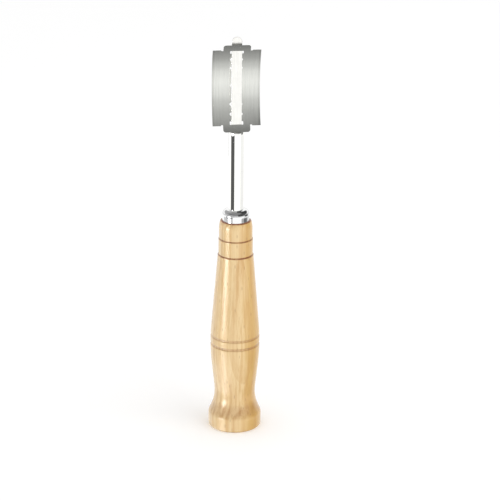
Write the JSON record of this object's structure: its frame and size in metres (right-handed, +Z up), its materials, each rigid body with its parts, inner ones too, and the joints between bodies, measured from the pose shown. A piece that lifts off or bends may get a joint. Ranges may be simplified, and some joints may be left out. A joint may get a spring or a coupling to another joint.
{
  "type": "bread lame",
  "caption": "Scoring tool for dough: a turned wooden handle with a collar and round steel shank that carries a bowed double-edged blade on a flat strip.",
  "frame": {"origin": "centre of the foot's flat underside, on the handle's axis", "axes": "+Z up the handle's axis from the foot to the tip of the strip; the hollow side of the bowed blade faces -Y; +X lies across the blade, along its width"},
  "size_m": [0.025, 0.025, 0.19],
  "materials": {
    "lacquered_wood": "clear gloss lacquer over pale straight-grained hardwood",
    "plated_collar": "bright plating",
    "polished_bar": "mirror polished steel",
    "strip_steel": "bright rolled spring steel",
    "blade_steel": "satin blade steel with honed long edges"
  },
  "bodies": {
    "holder": {"handle": "lacquered_wood", "ferrule": "plated_collar", "shank": "polished_bar", "blade_strip": "strip_steel"},
    "blade": {"razor_blade": "blade_steel"}
  },
  "joints": [
    {"name": "blade_slide", "type": "slide", "parent": "holder", "child": "blade", "axis": [0, 0, 1], "range_m": [0, 0.048]}
  ]
}
